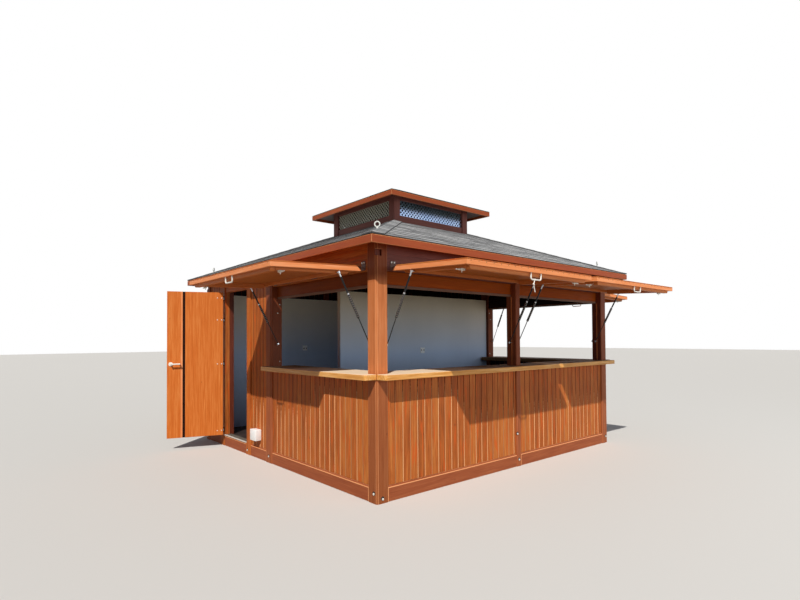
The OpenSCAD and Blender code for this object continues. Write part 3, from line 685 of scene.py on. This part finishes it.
# The middle posts in painted shade, darker still on faces that look into the hut
posts = Piece("post_middles", shaded_post, dark_coat_and_shade)
for part in solids_of("middle_posts"):
    members = [part]
    if reach(part, Y)[1] - reach(part, Y)[0] > ONE_MEMBER_D:
        members = [cut(part, Y, -FAR, SIDE_JOIN), cut(part, Y, SIDE_JOIN, FAR)]
    for member in members:
        posts.add(member, Z, edge=0.002, paint=post_shade_paint, tint=0.35)
posts.done("middle_posts")
jambs = Piece("jambs", stained, dark_coat_and_shade)
for part in solids_of("door_jambs"):
    if reach(part, Y)[0] > HINGE_JAMB_Y:
        jambs.add(cut(part, X, -FAR, JAMB_SPLIT), Z, edge=0.003, tint=0.5)
        # Its inner part is dark as painted shade
        jambs.add(cut(part, X, JAMB_SPLIT, FAR), Z, edge=0.0, coat=dark_coat_and_shade)
    else:
        jambs.add(part, grain_axis(part), edge=0.003, tint=0.5)
jambs.done("door_jambs")
timbers("joists", floor_wood, "floor_joists")
deck = Piece("deck_boards", floor_wood)
for part in solids_of("floor_deck"):
    for board in planks(part, Y, DECK_BOARD_W):
        deck.add(board, X, edge=0.0015)
deck.done("floor_deck")

# Walls of upright tongue-and-groove boards with V joints, over the dark tongues between them
# Their arrises carry painted sunlight and shade, and faces that look into the hut are painted shade
for node, across, out in (("front_wall", X, Y), ("back_wall", X, Y), ("left_wall", Y, X),
                          ("right_wall", Y, X)):
    wall = Piece(node + "_boards", stained, dark_coat_and_shade, board_arris_light_and_shade, joint_coat_and_shade)
    for part in solids_of(node):
        low, high = reach(part, out)
        wall.add(cut(part, out, low + BOARD_T, high - BOARD_T), Z, edge=0.0, coat=dark_coat_and_shade)
        for board in planks(part, across, BOARD_PITCH, gap=BOARD_GAP):
            wall.add(board, Z, edge=0.003, rim=board_arris_light_and_shade, paint=wall_shade_paint)
    wall.done(node)

# Headers set back between the posts, each with a half-bare strip under it, and the frieze boards over them
# Painted shade: the headers' dark coats, the frieze over the front, and faces that look into the hut
head = Piece("header_boards", stained, painted_shade_header, bare, joint_coat_and_shade, deeper_shade_left_header, lantern_coat_and_shade)
for part in solids_of("headers"):
    axis = grain_axis(part)
    if reach(part, Z)[0] > HEAD_Z:
        frieze = part
    else:
        head.add(cut(part, Z, -FAR, HEAD_Z - SEAM), axis, edge=0.002, coat=bare)
        coat = deeper_shade_left_header if reach(part, X)[1] < WALL_ZONE else painted_shade_header
        header = cut(part, Z, HEAD_Z + SEAM, FRIEZE_Z - SEAM)
        head.add(header, axis, edge=0.0025, coat=coat, paint=wall_shade_paint)
        frieze = cut(part, Z, FRIEZE_Z + SEAM, FAR)
    # The frieze over the front takes the coat painted with shade
    coat = lantern_coat_and_shade if reach(frieze, Y)[1] < WALL_ZONE else stained
    for board in planks(frieze, Z, FRIEZE_BOARD_W):
        head.add(board, axis, edge=0.0025, coat=coat, paint=wall_shade_paint)
head.done("headers")

# Counters: golden edges, painted light on the top and painted shade where they look into the hut
for node in ("counter_front", "counter_left", "counter_right"):
    board = Piece(node + "_board", golden, counter_top_light_and_shade, counter_inside_shade)
    for part in solids_of(node):
        board.add(part, grain_axis(part), edge=0.004, segments=2, paint=counter_light_and_shade_paint)
    board.done(node)


# Serving flaps: upright boards outside, plywood inside, a rim with slanted ends and rounded battens

# How far the plywood's lower face lies under the boards' top
SKIN_DOWN = 0.02
# How far the side battens and the outer batten hang below the rim, and the rounding of their ends
SIDE_HANG = 0.02
OUTER_HANG = 0.03
BATTEN_ROUND = 0.02


def at_flap(turns, mid, fall):
    """Moves a flap that is drawn level, with the hinge line at the origin, to its place."""
    hinge = Matrix.Translation((mid, -HINGE_OUT, HINGE_Z))
    return on_side(turns) @ hinge @ Matrix.Rotation(fall, 4, "X")


def rounded_batten(a, b, axis):
    """A batten from one corner to the other, with its two lower ends rounded along axis."""
    part = block(a, b)
    width = abs((b - a).dot(X + Y - axis))
    ends = [e for e in part.edges if abs(e.calc_length() - width) < 1e-6
            and e.verts[0].co.z < a.z + 1e-6 and e.verts[1].co.z < a.z + 1e-6]
    bmesh.ops.bevel(part, geom=ends, offset=BATTEN_ROUND, offset_type="OFFSET", segments=5, profile=0.5,
                    affect="EDGES", material=-1)
    return part


def flap_panel(node, turns, mid, fall):
    """One flap, which stands for its CAD node."""
    place = at_flap(turns, mid, fall)
    panel = Piece(node + "_panel", bright, flap_ply, batten_stain, stained, arris_highlight)
    half = FLAP_W / 2
    room = half - FLAP_RIM_W
    inner = FLAP_INNER - FLAP_BEVEL
    outer = FLAP_RIM_W - FLAP_D
    board_z = FLAP_TOP - BOARD_T
    skin_z = FLAP_TOP - SKIN_DOWN
    boards = block((-half, -FLAP_D, board_z), (half, inner, FLAP_TOP))
    for board in planks(boards, X, BOARD_PITCH, gap=BOARD_GAP):
        panel.add(board, Y, edge=0.003, coat=stained, place=place)
    skin = block((-room, outer, skin_z), (room, inner, board_z))
    panel.add(skin, X, edge=0.0, coat=flap_ply, place=place)
    slant = Vector((0, FLAP_TOP - FLAP_RIM_Z, FLAP_BEVEL)).normalized()
    limit = slant.dot(Vector((0, FLAP_INNER, FLAP_RIM_Z)))
    for side in (-1, 1):
        near, far = sorted((side * room, side * half))
        rim = block((near, -FLAP_D, FLAP_RIM_Z), (far, FLAP_INNER + 0.01, board_z))
        panel.add(cut(rim, slant, -FAR, limit), Y, edge=0.0015, rim=arris_highlight, place=place)
        near, far = sorted((side * (half - BATTEN_IN), side * (half - BATTEN_IN - BATTEN_W)))
        batten = rounded_batten(Vector((near, outer + BATTEN_W, FLAP_RIM_Z - SIDE_HANG)),
                                Vector((far, inner - BATTEN_W, skin_z)), Y)
        panel.add(batten, Y, edge=0.002, coat=batten_stain, place=place)
    rim = block((-room, -FLAP_D, FLAP_RIM_Z), (room, outer, board_z))
    panel.add(rim, X, edge=0.0015, rim=arris_highlight, place=place)
    batten = block((-room, inner - BATTEN_W, FLAP_RIM_Z), (room, inner, skin_z))
    panel.add(batten, X, edge=0.002, coat=batten_stain, place=place)
    span = half - BATTEN_IN
    batten = rounded_batten(Vector((-span, outer, FLAP_RIM_Z - OUTER_HANG)),
                            Vector((span, outer + BATTEN_W, skin_z)), X)
    panel.add(batten, X, edge=0.002, coat=batten_stain, place=place)
    panel.done(node)


for flap in FLAPS:
    flap_panel(*flap)

# Roof boards under the shingles, red where they show at the eaves and nearly black as painted shade elsewhere
ROOF_BOARD_W = 0.12
EAVES_BAND = 0.2
for turns, node in enumerate(("roof_front", "roof_right", "roof_back", "roof_left")):
    boards = Piece(node + "_boards", ceiling_shade_wood, red_stain)
    up_slope = (on_side(turns) @ Vector((0, 1, SLOPE))).normalized()
    along = on_side(turns) @ X
    for part in solids_of(node):
        low = reach(part, up_slope)[0]
        for board in planks(part, up_slope, ROOF_BOARD_W):
            eaves = reach(board, up_slope)[0] < low + EAVES_BAND
            boards.add(board, along, edge=0.0015, coat=red_stain if eaves else ceiling_shade_wood)
    boards.done(node)

# The lantern's roof: greyed where it oversails the lattice, nearly black over the well as painted shade
lantern_boards = Piece("lantern_roof_boards", ceiling_shade_wood, soffit_wood)
WELL = LANTERN_HALF
for part in solids_of("lantern_roof"):
    for x0, x1, y0, y1, coat in ((-FAR, FAR, -FAR, -WELL, soffit_wood), (-FAR, FAR, WELL, FAR, soffit_wood),
                                 (-FAR, -WELL, -WELL, WELL, soffit_wood),
                                 (WELL, FAR, -WELL, WELL, soffit_wood),
                                 (-WELL, WELL, -WELL, WELL, ceiling_shade_wood)):
        lantern_boards.add(cut(cut(part, X, x0, x1), Y, y0, y1), X, edge=0.0, coat=coat)
lantern_boards.done("lantern_roof")
timbers("eaves_fascia", red_stain, "fascia", edge_tone=arris_highlight)
timbers("lantern_eaves_fascia", red_stain, "lantern_fascia", edge_tone=arris_highlight)
timbers("lantern_posts_and_rails", lantern_coat_and_shade, "lantern_frame")


# Shingles: three-tab strips laid in courses, each tab tipped over the one below

TAB_T = 0.0045
TAB_W = 0.333
TAB_GAP = 0.006
TAB_LAP = 0.03
COURSE = 0.143
# The first course starts this far up the slope
FIRST_UP = 0.0035
# Cap shingles on the hips: length that shows, lap, and how far the lower end stands off
CAP_COURSE = 0.15
CAP_LAP = 0.035
CAP_LIFT = 0.003


def butt_coat(face):
    """The bitumen for the faces at a tab's lower edge and ends, before it is tipped."""
    return bitumen if abs(face.normal.z) < 0.5 and face.normal.y < 0.3 else None


def shingle_side(piece, turns, eave_half, eave_z, top_half):
    """Lays shingles on one side of a hip roof, drawn as a flat sheet and then tipped to the pitch."""
    cosine = 1 / math.sqrt(1 + SLOPE * SLOPE)
    sine = SLOPE * cosine
    sheet = Matrix(((1, 0, 0, 0), (0, cosine, -sine, -eave_half), (0, sine, cosine, eave_z), (0, 0, 0, 1)))
    length = (eave_half - top_half) / cosine
    exposure = length / round(length / COURSE)
    hip = Vector((1, cosine, 0)).normalized()
    limit = eave_half * hip.x + 0.0001
    for course in range(round(length / exposure)):
        s0 = course * exposure + (FIRST_UP if course == 0 else 0)
        s1 = min((course + 1) * exposure + TAB_LAP, length)
        half_w = eave_half - s0 * cosine + 0.01
        u = -math.ceil(half_w / TAB_W) * TAB_W - TAB_W * ((course % 2) * 0.5)
        while u < half_w:
            tab = block((u + TAB_GAP / 2, s0, 0), (u + TAB_W - TAB_GAP / 2, s1, TAB_T))
            for vert in tab.verts:
                if vert.co.y < s0 + 1e-6:
                    vert.co.z += TAB_T
            for side in (-1, 1):
                normal = Vector((side * hip.x, hip.y, 0))
                if tab.verts and reach(tab, normal)[1] > limit:
                    tab = cut(tab, normal, -FAR, limit)
            u += TAB_W
            if len(tab.faces) < 4:
                tab.free()
                continue
            piece.add(tab, Y, edge=0.0, paint=butt_coat, place=on_side(turns) @ sheet)


def hip_shingles(piece, turns, outer, inner, eave_z, half_width, base, thickness):
    """Folded cap shingles up one hip, each lapping the one below. A cap is sheared onto both roof sides."""
    place = on_side(turns) @ Matrix.Translation((-outer, -outer, eave_z)) @ Matrix.Rotation(
        math.radians(-45), 4, "Z")
    fall = SLOPE / math.sqrt(2)
    run = (outer - inner) * math.sqrt(2)
    count = round(run / CAP_COURSE)
    pitch = run / count
    for step in range(count):
        y0 = step * pitch
        y1 = min(y0 + pitch + CAP_LAP, count * pitch)
        cap = block((-half_width, y0, base), (half_width, y1, base + thickness))
        bmesh.ops.bisect_plane(cap, geom=cap.verts[:] + cap.edges[:] + cap.faces[:], plane_co=(0, 0, 0),
                               plane_no=(1, 0, 0))
        for vert in cap.verts:
            lift = CAP_LIFT * (y1 - vert.co.y) / (y1 - y0)
            vert.co.z += lift + (vert.co.y - abs(vert.co.x)) * fall
        if step == 0:
            cap = cut(cut(cap, -Y + X, -FAR, 0.0), -Y - X, -FAR, 0.0)
        piece.add(cap, Y, edge=0.0, paint=butt_coat, place=place)


main_shingles = Piece("roof_shingles", shingle, bitumen)
lantern_shingles = Piece("lantern_shingles", shingle, bitumen)
for turns in range(4):
    shingle_side(main_shingles, turns, EAVE_HALF, EAVE_Z, LANTERN_HALF)
    shingle_side(lantern_shingles, turns, LANTERN_EAVE_HALF, LANTERN_EAVE_Z, 0)
main_shingles.done(finish="shingle")
lantern_shingles.done(finish="shingle")
caps = Piece("hip_shingles", shingle, bitumen)
for turns in range(4):
    hip_shingles(caps, turns, EAVE_HALF, LANTERN_HALF, EAVE_Z, half_width=0.098, base=0.005, thickness=0.012)
    hip_shingles(caps, turns, LANTERN_EAVE_HALF, 0.0, LANTERN_EAVE_Z, half_width=0.078, base=0.002,
                 thickness=0.005)
caps.done("hip_caps")

# Lattice panels keep their CAD bars: paint on the outward faces, painted shade on all others
for node, paint in (("lattice_front", lattice_sky_and_shade), ("lattice_left", side_lattice_shade),
                    ("lattice_right", side_lattice_shade), ("lattice_back", lattice_sky_and_shade)):
    data = cad[node].data
    data.materials.clear()
    data.materials.append(paint)
    data.materials.append(lattice_sides_shade)
    for face in data.polygons:
        straight = max(abs(face.normal.x), abs(face.normal.y)) > 0.9
        outward = face.normal.x * face.center.x + face.normal.y * face.center.y > 0.5
        face.material_index = 0 if straight and outward else 1


# Ironwork: the wide sleeve of each gas strut is ribbed, the tube above it is plain

# A tube whose middle is lower than this is a sleeve
SLEEVE_Z = 1.8
RIBS = 11
RIB_FROM = 0.05
RIB_W = 0.006
RIB_OUT = 0.002
# Heights between which a strut's rod is black
BLACK_LOW = 1.392
BLACK_HIGH = 1.70
# The threshold is bright outside this line and darker inside it, as painted shade
TREAD_X = -HALF + 0.02


def rod_coat(face):
    """The black steel for the faces of a strut's rod that lie between its two heights."""
    return black_steel if BLACK_LOW < face.calc_center_median().z < BLACK_HIGH else None


def middle_of(places):
    """The mean of some places."""
    return sum(places, Vector()) / len(places)


tubes = Piece("gas_strut_tubes", black_steel, rib_highlight_grey)
for part in solids_of("strut_cylinders"):
    low, high = reach(part, Z)
    middle_z = (low + high) / 2
    lower = [v.co.copy() for v in part.verts if v.co.z < middle_z]
    foot = middle_of(lower)
    line = middle_of([v.co for v in part.verts if v.co.z > middle_z]) - foot
    radius = max((place - foot).length for place in lower)
    tubes.add(part, Z, edge=0.0008, smooth=True)
    for step in range(RIBS if middle_z < SLEEVE_Z else 0):
        at = foot + line * (RIB_FROM + (1 - RIB_FROM) * step / RIBS)
        ring = rod(at, at + line.normalized() * RIB_W, radius + RIB_OUT)
        tubes.add(ring, Z, edge=0.0, coat=rib_highlight_grey, smooth=True)
tubes.done("strut_cylinders")
rods = Piece("gas_strut_rods", stainless, black_steel)
for part in solids_of("strut_rods"):
    rods.add(part, Z, edge=0.0008, paint=rod_coat, smooth=True)
rods.done("strut_rods")
metal("flap_hinge_set", brown_steel, "flap_hinges")
metal("flap_bail_handles", bright_zinc, "flap_handles")
metal("flap_slide_bolts", bright_zinc, "flap_latches")
metal("roof_lifting_eyes", pale_steel, "lifting_eyes")
# The plates' dark brown also stands for painted shade in the gap by the door's hinge edge
metal("jamb_hinge_plates", brown_steel, "door_hinge_pins")
plate = Piece("threshold_plate", alloy, alloy_painted_shade)
for part in solids_of("threshold"):
    plate.add(cut(part, X, -FAR, TREAD_X - SEAM), Y, edge=0.0008)
    plate.add(cut(part, X, TREAD_X, FAR), Y, edge=0.0008, coat=alloy_painted_shade)
plate.done("threshold")

# Door: upright boards outside, a core in painted shade, and two sheets inside with a lighter lipping between
# them
BACK_X = -HALF + 0.014
SHEET_X = -HALF + LEAF_T - 0.012
SHEET_SEAM = 0.0002
LIP_Y = SLOT_AT - SLOT_W / 2 - 0.0095
at_door = Matrix.Translation(DOOR_HINGE) @ Matrix.Rotation(-DOOR_OPEN, 4, "Z") @ Matrix.Translation(
    -DOOR_HINGE)
leaf = Piece("door_panel", ply, stained, joint_coat_and_shade, board_arris_light_and_shade, bright)
for part in solids_of("door_leaf"):
    part.transform(at_door.inverted())
    for board in planks(cut(part, X, -FAR, BACK_X), Y, BOARD_PITCH, gap=0.004):
        leaf.add(board, Z, edge=0.004, coat=stained, rim=board_arris_light_and_shade, place=at_door)
    core = cut(part, X, BACK_X, SHEET_X - SHEET_SEAM)
    leaf.add(core, Z, edge=0.0, coat=joint_coat_and_shade, place=at_door)
    sheets = cut(part, X, SHEET_X + SHEET_SEAM, FAR)
    leaf.add(cut(sheets, Y, SLOT_AT + SLOT_W / 2, FAR), Z, edge=0.002, place=at_door)
    leaf.add(cut(sheets, Y, -FAR, LIP_Y - SEAM), Z, edge=0.001, place=at_door)
    # The lipping's lighter tone is partly a painted highlight
    leaf.add(cut(sheets, Y, LIP_Y, SLOT_AT), Z, edge=0.002, coat=bright, place=at_door)
leaf.done("door_leaf", body="door")
metal("door_strap_hinges", zinc, "door_straps", body="door")
metal("door_lever_handles", bright_zinc, "door_lever", body="door")


# Bolt heads and other small fittings

# How deep a fitting sits in its face
SUNK = 0.001
# Bolts along the hinge plates of a flap, from its middle
PLATE_OUT = -1.989
PLATE_BOLT_Z = 2.112
PLATE_BOLTS = (-0.858, -0.826, -0.046, 0.046, 0.826, 0.858)
# Foot bolts: side, place along it and height
FOOT_BOLTS = [(turns, u, z) for turns in range(4) for u, z in ((-1.939, 0.045), (1.955, 0.09))]
FOOT_BOLTS += [(0, 0.014, 0.079), (0, -0.013, 0.369), (3, -0.03, 0.08), (3, -0.608, 0.06), (1, 0.03, 0.08)]
# Bolts through the reveals of the side walls' middle posts: distance from the middle and height
REVEAL_Y = -0.045
REVEAL_BOLTS = ((1.9, 1.836), (1.925, 1.734), (1.9, 1.173))


def head_on(piece, at, out, radius, height, coat=None, sides=16, place=None):
    """A round or six-sided head on a face: its middle there, the way the face looks, and its height."""
    at, out = Vector(at), Vector(out)
    head = rod(at - out * SUNK, at + out * height, radius, sides=sides)
    piece.add(head, out, edge=0.0008, coat=coat, smooth=sides > 6, place=place)


bolts = Piece("bolt_heads", bright_zinc, black_steel)
for _, turns, mid, _ in FLAPS:
    for u in PLATE_BOLTS:
        head_on(bolts, (mid + u, PLATE_OUT, PLATE_BOLT_Z), -Y, 0.008, 0.006, place=on_side(turns))
# Each foot bolt on a black disc that paints the shade of its counterbore, the nut a little low in it
for turns, u, z in FOOT_BOLTS:
    head_on(bolts, (u, -HALF, z), -Y, 0.018, 0.0008, coat=black_steel, place=on_side(turns))
    head_on(bolts, (u, -HALF, z - 0.005), -Y, 0.011, 0.007, sides=6, place=on_side(turns))
for side in (-1, 1):
    for x, z in REVEAL_BOLTS:
        head_on(bolts, (side * x, REVEAL_Y, z), -Y, 0.007, 0.005)
bolts.done(finish="zinc_steel")

# Screws along the outer rim of each flap, one to a board
SCREWS = 20
SCREW_Z = -0.007
screws = Piece("rim_screws", black_steel)
for _, turns, mid, fall in FLAPS:
    for step in range(SCREWS):
        u = (step - (SCREWS - 1) / 2) * BOARD_PITCH
        screw = rod((u, -FLAP_D + 0.005, SCREW_Z), (u, -FLAP_D - 0.0003, SCREW_Z), 0.0035, sides=10)
        screws.add(screw, Y, edge=0.0, place=at_flap(turns, mid, fall))
screws.done(finish="black_steel")

# Slim stop strips on the posts beside the openings in the front
STRIP_FRONT = -1.944
STRIP_BACK = -1.931
STRIP_TOP = HEAD_Z - 0.026
STRIP_T = 0.004
stops = Piece("stop_strips", post_tone_and_roof_shade)
for x, out in ((-0.018, -1), (0.06, 1), (1.87, -1), (-1.87, 1)):
    near, far = sorted((x - out * SUNK, x + out * STRIP_T))
    stops.add(block((near, STRIP_FRONT, COUNTER_TOP), (far, STRIP_BACK, STRIP_TOP)), Z, edge=0.001)
stops.done(finish="stained_timber")

# A hook that hangs from the handle of the front left flap, with a knob at its bend
BAR = Vector((-FLAP_MID - 0.01, -2.91, 1.933))
BEND = BAR + Vector((-0.024, 0, -0.04))
hook = Piece("handle_hook", bright_zinc)
hook.add(rod(BAR + Z * 0.007, BEND, 0.004, sides=12), Z, edge=0.0, smooth=True)
hook.add(rod(BEND, BAR + Vector((-0.004, 0, -0.108)), 0.004, sides=12), Z, edge=0.0008, smooth=True)
knob = bmesh.new()
bmesh.ops.create_uvsphere(knob, u_segments=16, v_segments=10, radius=0.009, matrix=Matrix.Translation(BEND))
hook.add(knob, Z, edge=0.0, smooth=True)
hook.done(finish="bright_steel")

# Bolt heads of the strap hinges, on the inner sheet of the door
door_bolts = Piece("door_bolt_heads", bright_zinc)
for z in (0.216, 1.106, 1.695, 1.99):
    for y in (1.2565, 1.31):
        head_on(door_bolts, (-HALF + LEAF_T, y, z), X, 0.007, 0.004, place=at_door)
door_bolts.done(body="door", finish="zinc_steel")

# Inside: painted sheets 1.22 m wide, the electric boxes, and black discs as painted shade in the wells of
# their sockets
for node in ("partition", "back_lining"):
    lining = Piece(node + "_sheets", painted)
    for part in solids_of(node):
        for sheet in planks(part, X, 1.22):
            lining.add(sheet, Z, edge=0.0008)
    lining.done(node)
metal("electric_boxes", plastic, "socket_boxes", edge=0.004, segments=3)
wells = Piece("socket_wells", black_steel)
for place in ((0.398, -0.012, 1.26), (0.442, -0.012, 1.26), (-0.482, 1.84, 1.28), (-0.438, 1.84, 1.28)):
    head_on(wells, place, -Y, 0.011, 0.0006)
wells.done(finish="white_plastic")


# Floor, lights and camera

def seen_directly(tree):
    """1 for what the camera sees, also in a mirror, and 0 for what only lights other things."""
    path = add(tree, "LightPath")
    return maths(tree, "MAXIMUM", path.outputs["Is Camera Ray"], path.outputs["Is Glossy Ray"])


def lamp(name, kind, energy, direction, colour, place=(0, 0, 5), **settings):
    """A lamp that shines along a direction."""
    data = bpy.data.lights.new(name, kind)
    data.energy = energy
    data.color = colour
    for setting, value in settings.items():
        setattr(data, setting, value)
    made = bpy.data.objects.new(name, data)
    made.location = place
    made.rotation_euler = Vector(direction).to_track_quat("-Z", "Y").to_euler()
    made.visible_camera = False
    scene.collection.objects.link(made)


floor = bmesh.new()
bmesh.ops.create_grid(floor, x_segments=1, y_segments=1, size=60)
floor_data = bpy.data.meshes.new("studio_floor")
floor.to_mesh(floor_data)
floor.free()
floor_object = bpy.data.objects.new("studio_floor", floor_data)
scene.collection.objects.link(floor_object)
# Pale where it is seen, browner as a reflector, so that it warms what stands on it
floor_material, tree, shader = new_material("studio_floor")
tone = mixed(tree, seen_directly(tree), linear("#8E8270"), linear("#D8D6D2"))
feed(tree, shader, {"Base Color": tone, "Roughness": 0.9})
floor_data.materials.append(floor_material)
floor_object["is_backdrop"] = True

# The backdrop is white where it is seen and a faint bluish sky as a light
world = bpy.data.worlds.new("studio")
scene.world = world
world.use_nodes = True
tree = world.node_tree
tree.nodes.clear()
light = add(tree, "Background", {"Color": linear("#D8E6FF"), "Strength": 0.15})
backdrop = add(tree, "Background", {"Color": linear("#FFFFFF"), "Strength": 1.0})
mix = add(tree, "MixShader", {0: seen_directly(tree), 1: light.outputs[0], 2: backdrop.outputs[0]})
add(tree, "OutputWorld", {"Surface": mix.outputs[0]})

# The key stands where the light of the photograph comes from; the fills open the front shade and the inside
lamp("key", "SUN", energy=3.7, direction=(0.531, 0.464, -0.709), colour=(1.0, 0.965, 0.91),
     angle=math.radians(0.5))
lamp("front_fill", "AREA", energy=255, direction=(-0.12, 1.0, -0.06), colour=(0.88, 0.95, 1.0),
     place=(1.5, -11, 2.2), shape="RECTANGLE", size=9.0, size_y=3.0)
lamp("room_fill", "AREA", energy=1.3, direction=(0.1, 1.0, -0.15), colour=(0.86, 0.93, 1.0),
     place=(-0.9, 0.35, 1.6), size=1.2)

# Camera at the photo's place: 40.72 degrees from +Y towards +X, just above level
EYE = (-4.7445, -5.5029, 1.4344)
PHOTO_W = 800
FOCAL_PX = 513.767
SHIFT_PX = 27.98
SENSOR_MM = 36
heading, pitch, roll = 0.7107, 0.02, 0.0059
forward = Vector((math.sin(heading) * math.cos(pitch), math.cos(heading) * math.cos(pitch), math.sin(pitch)))
side = Vector((math.cos(heading), -math.sin(heading), 0))
up = side.cross(forward)
right = side * math.cos(roll) - up * math.sin(roll)
top = up * math.cos(roll) + side * math.sin(roll)
camera = bpy.data.cameras.new("camera")
camera.sensor_width = SENSOR_MM
camera.lens = SENSOR_MM * FOCAL_PX / PHOTO_W
camera.shift_y = SHIFT_PX / PHOTO_W
camera.clip_start = 0.05
camera.clip_end = 200
camera_object = bpy.data.objects.new("camera", camera)
turn = Matrix((right, top, -forward)).transposed().to_4x4()
camera_object.matrix_world = Matrix.Translation(EYE) @ turn
scene.collection.objects.link(camera_object)
scene.camera = camera_object
scene.view_settings.view_transform = "Standard"

low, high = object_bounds()
